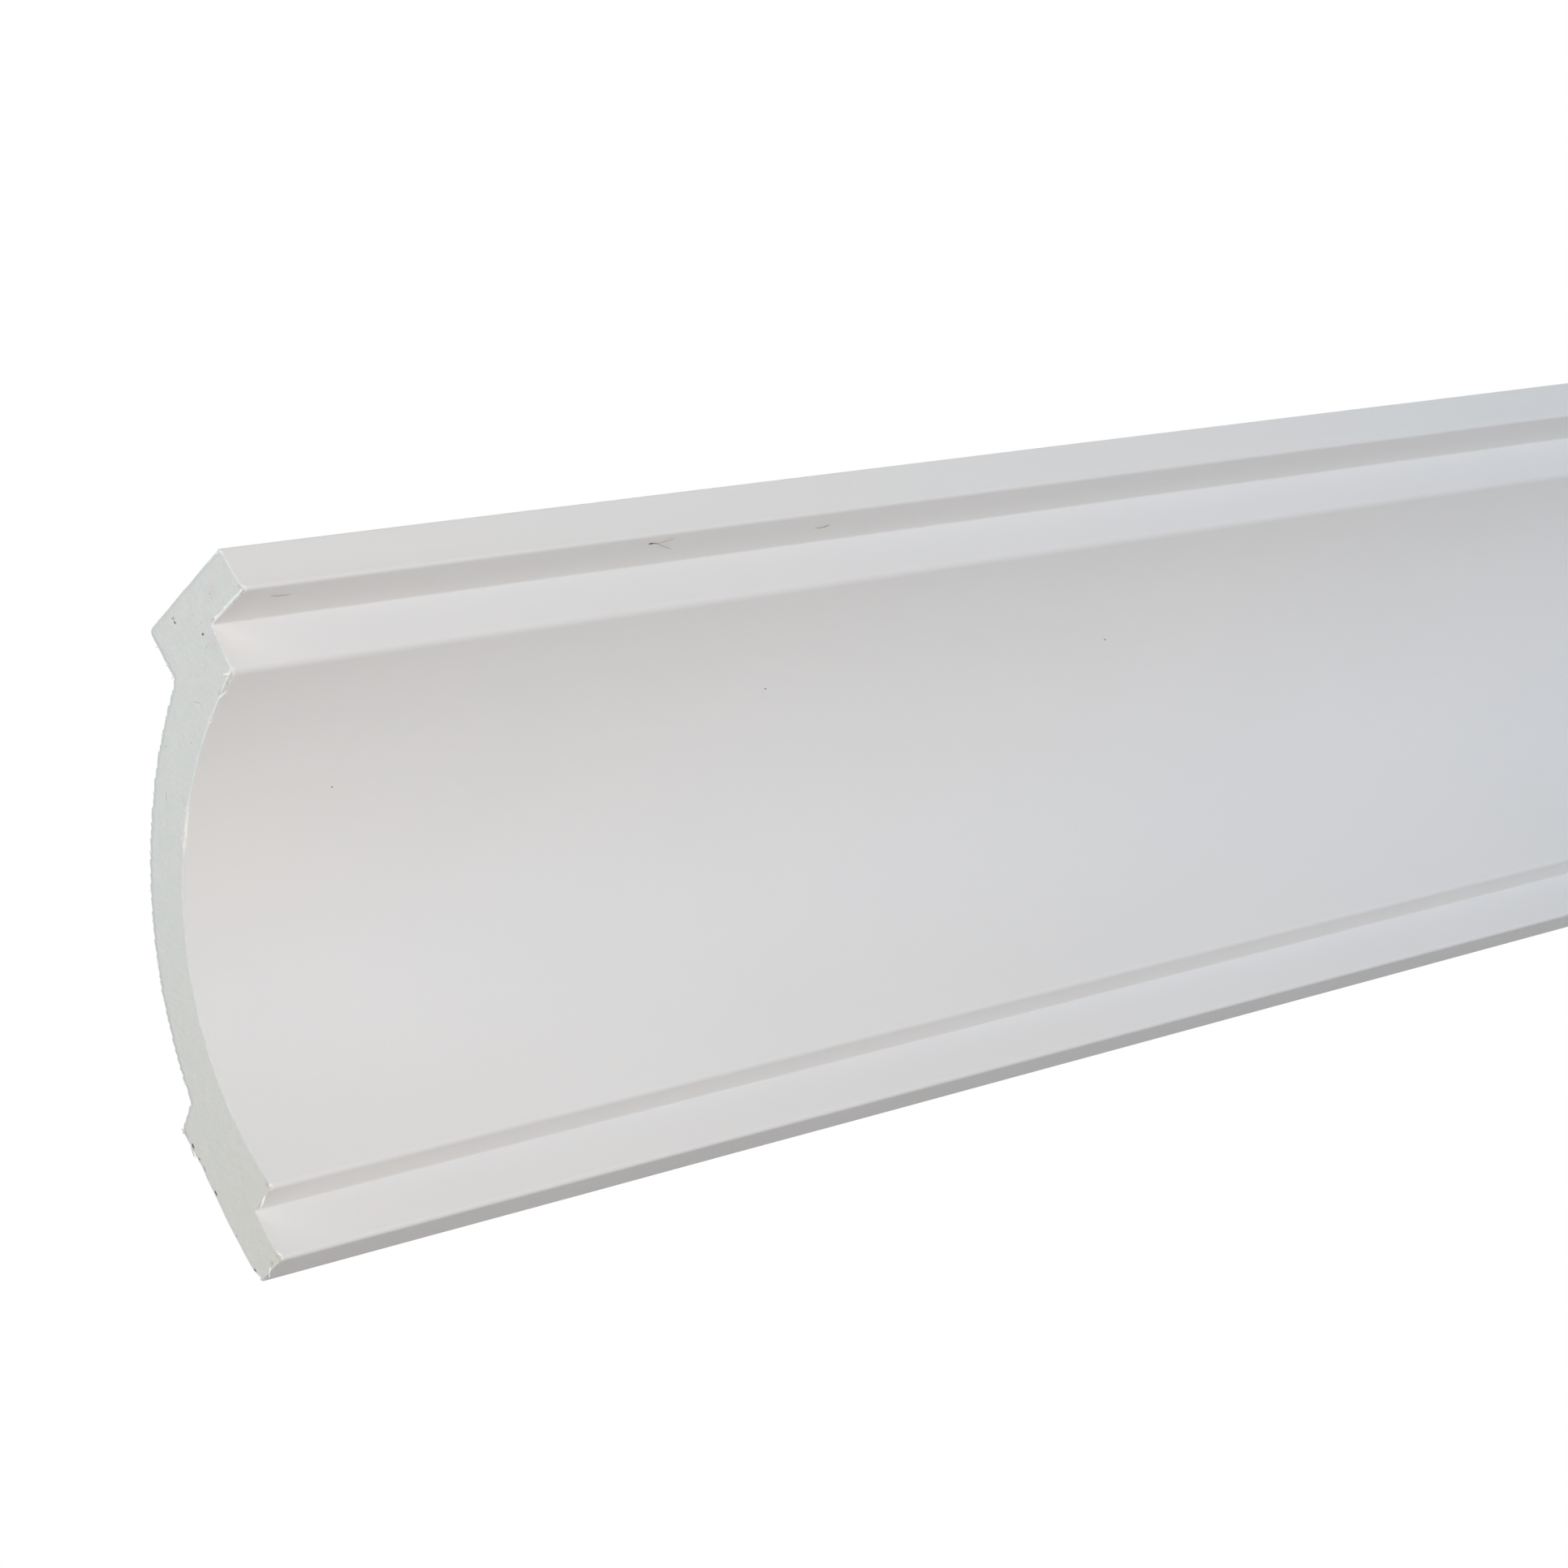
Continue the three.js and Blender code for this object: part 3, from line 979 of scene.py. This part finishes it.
def skin_shreds_piece(material):
    """Loose tongues of the white skin at the cut."""
    shards = Shards()
    for path, widths in SKIN_TONGUES:
        shards.blade(path, widths, TONGUE_THICKNESS, TONGUE_SIDE)
    return shards.piece("skin_shreds", (material,), "white_skin")


def foam_crumbs_piece(material):
    """Crumbs that the saw left along the back edge, and flakes at the wall edge."""
    shards = Shards()
    for path, widths in FOAM_FLAKES:
        shards.blade(path, widths, FLAKE_THICKNESS, FLAKE_SIDE)
    back = np.flatnonzero(~ring.skin & ~ring.land)
    first, last = ring.arc[back[0]], ring.arc[back[-1]]
    crumbs = [
        (arc + rng.uniform(*CRUMB_SHIFT), rng.uniform(*CRUMB_REACH), rng.uniform(*CRUMB_SLANT))
        for arc in np.arange(first + CRUMB_CLEAR, last - BACK_CLEAR, CRUMB_GAP)
    ]
    crumbs += [(last - height, reach, slant) for height, reach, slant in BACK_FACE_SHREDS]
    for arc, reach, slant in crumbs:
        k = back[np.argmin(np.abs(ring.arc[back] - arc))]
        out, down = ring.points[k]
        normal = ring.normal[k]
        tip = (-rng.uniform(*CRUMB_LEAN), out + normal[0] * reach - normal[1] * slant,
               down + normal[1] * reach + normal[0] * slant)
        root = (CRUMB_SET_IN, out - normal[0] * CRUMB_ROOT, down - normal[1] * CRUMB_ROOT)
        bulge = reach * CRUMB_MIDDLE
        middle = (CRUMB_BELLY, out + normal[0] * bulge, down + normal[1] * bulge)
        width = rng.uniform(*CRUMB_WIDTH)
        widths = (width, width * CRUMB_TAPER, CRUMB_TIP)
        shards.blade((root, middle, tip), widths, CRUMB_THICKNESS, (0, -normal[1], normal[0]))
    return shards.piece("foam_crumbs", (material,), "foam_core")


# Lamps: place in metres, watts and colour. They are warm at the near end and cool beyond it.
LAMP_SIZE = 1.6
LAMP_AIM = (-0.25, -0.04, 0.04)
LAMPS = {
    "left_low": ((-2.56, -1.36, -0.99), 11.0, (1, 0.5, 0.02)),
    "front_left": ((-1.56, -2.36, -0.99), 24, (1, 0.9, 0.78)),
    "front": ((-0.2, -2.73, -0.99), 17, (0.92, 0.95, 1)),
    "front_right": ((1.16, -2.36, -0.99), 13, (0, 0.48, 1)),
    "end": ((-3.05, -0.25, 0.5), 50, (0.5, 0.77, 1)),
    "left": ((-2.67, -1.43, 0.5), 26.0, (1, 0.63, 0.27)),
    "right": ((1.23, -2.47, 0.5), 6.7, (0.32, 0.63, 1)),
    "right_high": ((1.72, -1.11, 1.86), 13.4, (0.98, 1, 0.96)),
    "below_left": ((-1.9, -0.9, -1.9), 2.5, (1, 0.45, 0.1)),
    "above": ((0.4, 0.9, 2.8), 60, (1, 1, 1)),
    "behind": ((0.4, 2.6, 1.4), 17.5, (1, 0.99, 0.97)),
    "far_end": ((3.0, 1.1, 0.5), 38, (0.96, 0.98, 1)),
}
SURROUND = (0.05, 0.065, 0.08)
SEEN_BACKDROP = (1, 1, 1)

# The room's floor, in metres, below a moulding that hangs under the ceiling. The lumps of
# its faint clouds are in mm.
FLOOR_Z = -2.3
FLOOR_SIZE = 200
FLOOR_TONES = ((0.595, 0.575, 0.562), (0.635, 0.615, 0.602))
FLOOR_CLOUD = 300
SEEN_FLOOR = (0.84, 0.84, 0.83)


def softbox(name, place, watts, colour):
    """A large square lamp that faces the moulding."""
    lamp = bpy.data.lights.new(name, "AREA")
    lamp.shape = "SQUARE"
    lamp.size = LAMP_SIZE
    lamp.energy = watts
    lamp.color = colour
    box = bpy.data.objects.new(name, lamp)
    box.location = place
    box.rotation_mode = "QUATERNION"
    box.rotation_quaternion = (Vector(LAMP_AIM) - Vector(place)).to_track_quat("-Z", "Y")
    bpy.context.scene.collection.objects.link(box)


def surround():
    """A white backdrop to the eye, and a dimmer even light on everything else."""
    world = bpy.data.worlds.new("studio")
    world.use_nodes = True
    tree = world.node_tree
    light = tree.nodes["Background"]
    light.inputs["Color"].default_value = (*SURROUND, 1)
    seen = tree.nodes.new("ShaderNodeBackground")
    seen.inputs["Color"].default_value = (*SEEN_BACKDROP, 1)
    path = tree.nodes.new("ShaderNodeLightPath")
    mix = tree.nodes.new("ShaderNodeMixShader")
    tree.links.new(path.outputs["Is Camera Ray"], mix.inputs["Fac"])
    tree.links.new(light.outputs["Background"], mix.inputs[1])
    tree.links.new(seen.outputs["Background"], mix.inputs[2])
    tree.links.new(mix.outputs["Shader"], tree.nodes["World Output"].inputs["Surface"])
    bpy.context.scene.world = world


def floor_piece():
    """A pale floor far below the moulding. It is as evenly pale to the eye as the backdrop,
    and throws a dimmer, warmer light up."""
    mesh = bpy.data.meshes.new("floor")
    half = FLOOR_SIZE / 2
    corners = [(x * half, y * half, FLOOR_Z) for x, y in ((-1, -1), (1, -1), (1, 1), (-1, 1))]
    mesh.from_pydata(corners, [], [(0, 1, 2, 3)])
    nodes = Nodes("pale_floor")
    tone = nodes.mix(nodes.noise(long=FLOOR_CLOUD), *FLOOR_TONES)
    nodes.set(Base_Color=tone, Roughness=0.7)
    seen = nodes.add("ShaderNodeEmission")
    seen.inputs["Color"].default_value = (*SEEN_FLOOR, 1)
    to_eye = nodes.add("ShaderNodeMixShader")
    nodes.link(nodes.add("ShaderNodeLightPath").outputs["Is Camera Ray"], to_eye.inputs["Fac"])
    nodes.link(nodes.shader.outputs["BSDF"], to_eye.inputs[1])
    nodes.link(seen.outputs["Emission"], to_eye.inputs[2])
    nodes.link(to_eye.outputs["Shader"], nodes.tree.nodes["Material Output"].inputs["Surface"])
    mesh.materials.append(nodes.material)
    floor = bpy.data.objects.new("floor", mesh)
    bpy.context.scene.collection.objects.link(floor)


def camera():
    """The photograph's view: from below and in front of the near end, rolled clockwise."""
    data = bpy.data.cameras.new("camera")
    data.lens = CAMERA_LENS
    data.sensor_width = SENSOR_WIDTH
    data.clip_start = NEAREST_SEEN
    view = bpy.data.objects.new("camera", data)
    aim = Vector(CAMERA_AIM) - Vector(CAMERA_PLACE)
    view.location = CAMERA_PLACE
    view.rotation_mode = "QUATERNION"
    view.rotation_quaternion = aim.to_track_quat("-Z", "Y") @ Quaternion((0, 0, 1), CAMERA_ROLL)
    bpy.context.scene.collection.objects.link(view)
    bpy.context.scene.camera = view


sawn_foam = sawn_foam_material()
moulding_piece(white_skin_material(), raw_foam_material(), sawn_foam)
foam_crumbs_piece(sawn_foam)
skin_shreds_piece(torn_skin_material())
dirt_piece([dirt_material(name, colour) for name, colour in DIRTS.items()])

surround()
floor_piece()
for lamp_name, (place, watts, colour) in LAMPS.items():
    softbox(lamp_name, place, watts, colour)
camera()
bpy.context.scene.view_settings.view_transform = "Standard"
